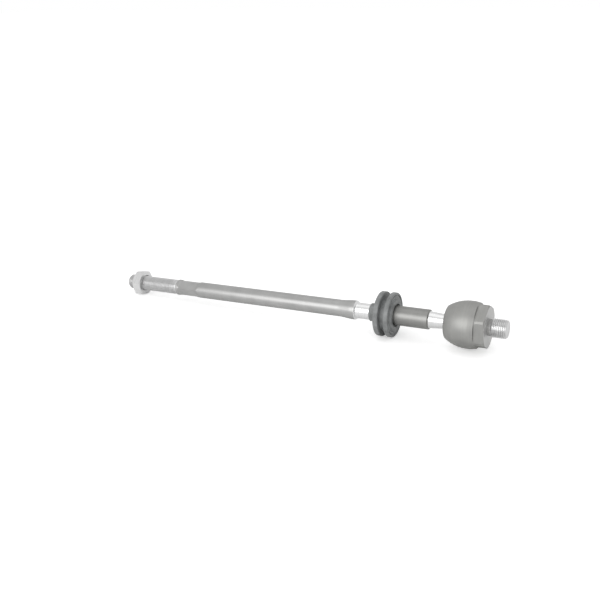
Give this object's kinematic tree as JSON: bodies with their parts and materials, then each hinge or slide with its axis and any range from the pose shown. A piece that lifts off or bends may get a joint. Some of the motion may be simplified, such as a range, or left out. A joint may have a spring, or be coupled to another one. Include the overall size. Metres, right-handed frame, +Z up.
{
  "type": "inner tie rod",
  "caption": "Steering inner tie rod: a threaded rod on a ball joint, with a rack stud, a boot ring and a lock nut.",
  "frame": {"origin": "centre of the housing's flat face that seats on the rack, at the root of the rack stud", "axes": "+X out along the rack stud, -X along the rod to its outer thread, +Z up with the lock nut's and the rod hexagon's flats level"},
  "size_m": [0.378, 0.04, 0.04],
  "materials": {
    "housing_steel": "forged and turned, grey phosphate, rack stud bright",
    "seat_plastic": "natural acetal, greased",
    "rod_steel": "grey phosphate, thread, journal and neck turned bright",
    "ring_plastic": "moulded dark grey plastic",
    "nut_steel": "bright zinc"
  },
  "bodies": {
    "housing": {"ball_housing": "housing_steel"},
    "seat": {"ball_seat": "seat_plastic"},
    "ring": {"boot_ring": "ring_plastic"},
    "rod": {"tie_rod": "rod_steel"},
    "nut": {"lock_nut": "nut_steel"}
  },
  "joints": [
    {"name": "seat_turn", "type": "hinge", "parent": "housing", "child": "seat", "pos_m": [-0.0225, 0, 0], "axis": [1, 0, 0], "continuous": true},
    {"name": "rod_swing", "type": "hinge", "parent": "seat", "child": "ring", "pos_m": [-0.0225, 0, 0], "axis": [0, 1, 0], "range_deg": [-22, 22]},
    {"name": "rod_turn", "type": "hinge", "parent": "ring", "child": "rod", "pos_m": [-0.0225, 0, 0], "axis": [1, 0, 0], "continuous": true},
    {"name": "nut_run", "type": "slide", "parent": "rod", "child": "nut", "axis": [1, 0, 0], "range_m": [-0.007, 0.039]}
  ]
}
